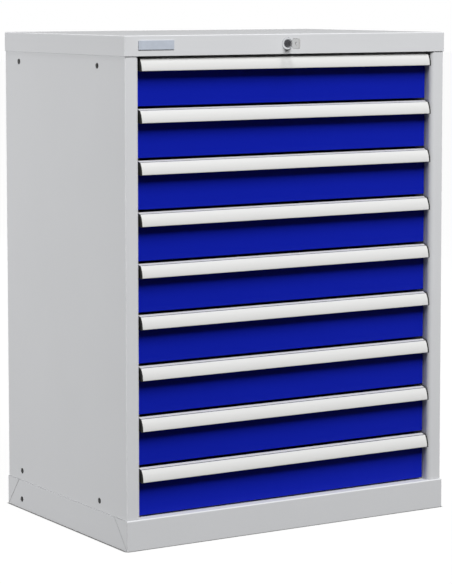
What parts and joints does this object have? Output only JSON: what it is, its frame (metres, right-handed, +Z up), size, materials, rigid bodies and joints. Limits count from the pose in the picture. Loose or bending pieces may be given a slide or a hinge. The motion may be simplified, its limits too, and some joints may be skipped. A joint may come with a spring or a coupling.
{
  "type": "drawer cabinet for tools",
  "caption": "Steel tool cabinet on a plinth: a stack of equal drawers with full-width grip handles on telescopic runners, locked together by one key in the cover.",
  "frame": {"origin": "on the floor under the middle of the whole bounding box, key included", "axes": "+X to the right seen from the front, +Y to the back, +Z up"},
  "size_m": [0.7624, 0.5586, 1],
  "materials": {
    "casing_grey": "light grey powder coat, fine orange peel",
    "front_blue": "royal blue powder coat on the fronts",
    "handle_aluminium": "pale satin anodised extrusion",
    "cap_black": "black moulded plastic",
    "guide_plastic": "natural acetal blocks",
    "runner_zinc": "bright zinc plated steel",
    "lock_chrome": "bright chrome plate",
    "key_steel": "nickel plated key"
  },
  "bodies": {
    "root": {"right_side_panel": "casing_grey", "left_side_panel": "casing_grey", "back_panel": "casing_grey", "bottom_panel": "casing_grey", "top_cover": "casing_grey", "front_crossbar": "casing_grey", "plinth_front": "casing_grey", "plinth_rear": "casing_grey", "plinth_side_right": "casing_grey", "plinth_side_left": "casing_grey", "runner_uprights": "casing_grey", "cabinet_rails_right": "runner_zinc", "cabinet_rails_left": "runner_zinc", "side_hole_plugs": "cap_black", "lock_body": "lock_chrome", "lock_nut": "runner_zinc", "lock_rod_bracket": "runner_zinc", "lock_bar_guides": "guide_plastic"},
    "drawer_1": {"drawer_1_tray": "front_blue", "drawer_1_handle": "handle_aluminium", "drawer_1_end_caps": "cap_black"},
    "runner_1": {"drawer_1_middle_runners": "runner_zinc"},
    "drawer_2": {"drawer_2_tray": "front_blue", "drawer_2_handle": "handle_aluminium", "drawer_2_end_caps": "cap_black"},
    "runner_2": {"drawer_2_middle_runners": "runner_zinc"},
    "drawer_3": {"drawer_3_tray": "front_blue", "drawer_3_handle": "handle_aluminium", "drawer_3_end_caps": "cap_black"},
    "runner_3": {"drawer_3_middle_runners": "runner_zinc"},
    "drawer_4": {"drawer_4_tray": "front_blue", "drawer_4_handle": "handle_aluminium", "drawer_4_end_caps": "cap_black"},
    "runner_4": {"drawer_4_middle_runners": "runner_zinc"},
    "drawer_5": {"drawer_5_tray": "front_blue", "drawer_5_handle": "handle_aluminium", "drawer_5_end_caps": "cap_black"},
    "runner_5": {"drawer_5_middle_runners": "runner_zinc"},
    "drawer_6": {"drawer_6_tray": "front_blue", "drawer_6_handle": "handle_aluminium", "drawer_6_end_caps": "cap_black"},
    "runner_6": {"drawer_6_middle_runners": "runner_zinc"},
    "drawer_7": {"drawer_7_tray": "front_blue", "drawer_7_handle": "handle_aluminium", "drawer_7_end_caps": "cap_black"},
    "runner_7": {"drawer_7_middle_runners": "runner_zinc"},
    "drawer_8": {"drawer_8_tray": "front_blue", "drawer_8_handle": "handle_aluminium", "drawer_8_end_caps": "cap_black"},
    "runner_8": {"drawer_8_middle_runners": "runner_zinc"},
    "drawer_9": {"drawer_9_tray": "front_blue", "drawer_9_handle": "handle_aluminium", "drawer_9_end_caps": "cap_black"},
    "runner_9": {"drawer_9_middle_runners": "runner_zinc"},
    "lock_cylinder": {"lock_plug": "lock_chrome", "lock_rod": "runner_zinc"},
    "key": {"key": "key_steel"},
    "lock_bar": {"lock_bar": "runner_zinc", "lock_hooks": "runner_zinc"}
  },
  "joints": [
    {"name": "drawer_1_slide", "type": "slide", "parent": "root", "child": "drawer_1", "axis": [0, -1, 0], "range_m": [0, 0.43]},
    {"name": "runner_1_slide", "type": "slide", "parent": "root", "child": "runner_1", "axis": [0, -1, 0], "range_m": [0, 0.215]},
    {"name": "drawer_2_slide", "type": "slide", "parent": "root", "child": "drawer_2", "axis": [0, -1, 0], "range_m": [0, 0.43]},
    {"name": "runner_2_slide", "type": "slide", "parent": "root", "child": "runner_2", "axis": [0, -1, 0], "range_m": [0, 0.215]},
    {"name": "drawer_3_slide", "type": "slide", "parent": "root", "child": "drawer_3", "axis": [0, -1, 0], "range_m": [0, 0.43]},
    {"name": "runner_3_slide", "type": "slide", "parent": "root", "child": "runner_3", "axis": [0, -1, 0], "range_m": [0, 0.215]},
    {"name": "drawer_4_slide", "type": "slide", "parent": "root", "child": "drawer_4", "axis": [0, -1, 0], "range_m": [0, 0.43]},
    {"name": "runner_4_slide", "type": "slide", "parent": "root", "child": "runner_4", "axis": [0, -1, 0], "range_m": [0, 0.215]},
    {"name": "drawer_5_slide", "type": "slide", "parent": "root", "child": "drawer_5", "axis": [0, -1, 0], "range_m": [0, 0.43]},
    {"name": "runner_5_slide", "type": "slide", "parent": "root", "child": "runner_5", "axis": [0, -1, 0], "range_m": [0, 0.215]},
    {"name": "drawer_6_slide", "type": "slide", "parent": "root", "child": "drawer_6", "axis": [0, -1, 0], "range_m": [0, 0.43]},
    {"name": "runner_6_slide", "type": "slide", "parent": "root", "child": "runner_6", "axis": [0, -1, 0], "range_m": [0, 0.215]},
    {"name": "drawer_7_slide", "type": "slide", "parent": "root", "child": "drawer_7", "axis": [0, -1, 0], "range_m": [0, 0.43]},
    {"name": "runner_7_slide", "type": "slide", "parent": "root", "child": "runner_7", "axis": [0, -1, 0], "range_m": [0, 0.215]},
    {"name": "drawer_8_slide", "type": "slide", "parent": "root", "child": "drawer_8", "axis": [0, -1, 0], "range_m": [0, 0.43]},
    {"name": "runner_8_slide", "type": "slide", "parent": "root", "child": "runner_8", "axis": [0, -1, 0], "range_m": [0, 0.215]},
    {"name": "drawer_9_slide", "type": "slide", "parent": "root", "child": "drawer_9", "axis": [0, -1, 0], "range_m": [0, 0.43]},
    {"name": "runner_9_slide", "type": "slide", "parent": "root", "child": "runner_9", "axis": [0, -1, 0], "range_m": [0, 0.215]},
    {"name": "lock_turn", "type": "hinge", "parent": "root", "child": "lock_cylinder", "pos_m": [-0.01, -0.2342, 0.981], "axis": [0, 1, 0], "range_deg": [0, 90]},
    {"name": "key_slide", "type": "slide", "parent": "lock_cylinder", "child": "key", "axis": [0, -1, 0], "range_m": [0, 0.03]},
    {"name": "lock_bar_slide", "type": "slide", "parent": "root", "child": "lock_bar", "axis": [0, 0, 1], "range_m": [0, 0.01415]}
  ],
  "couplings": [
    {"joint": "runner_1_slide", "follows": "drawer_1_slide", "ratio": 0.5},
    {"joint": "runner_2_slide", "follows": "drawer_2_slide", "ratio": 0.5},
    {"joint": "runner_3_slide", "follows": "drawer_3_slide", "ratio": 0.5},
    {"joint": "runner_4_slide", "follows": "drawer_4_slide", "ratio": 0.5},
    {"joint": "runner_5_slide", "follows": "drawer_5_slide", "ratio": 0.5},
    {"joint": "runner_6_slide", "follows": "drawer_6_slide", "ratio": 0.5},
    {"joint": "runner_7_slide", "follows": "drawer_7_slide", "ratio": 0.5},
    {"joint": "runner_8_slide", "follows": "drawer_8_slide", "ratio": 0.5},
    {"joint": "runner_9_slide", "follows": "drawer_9_slide", "ratio": 0.5},
    {"joint": "lock_turn", "follows": "lock_bar_slide", "rad_per_m": 111}
  ]
}
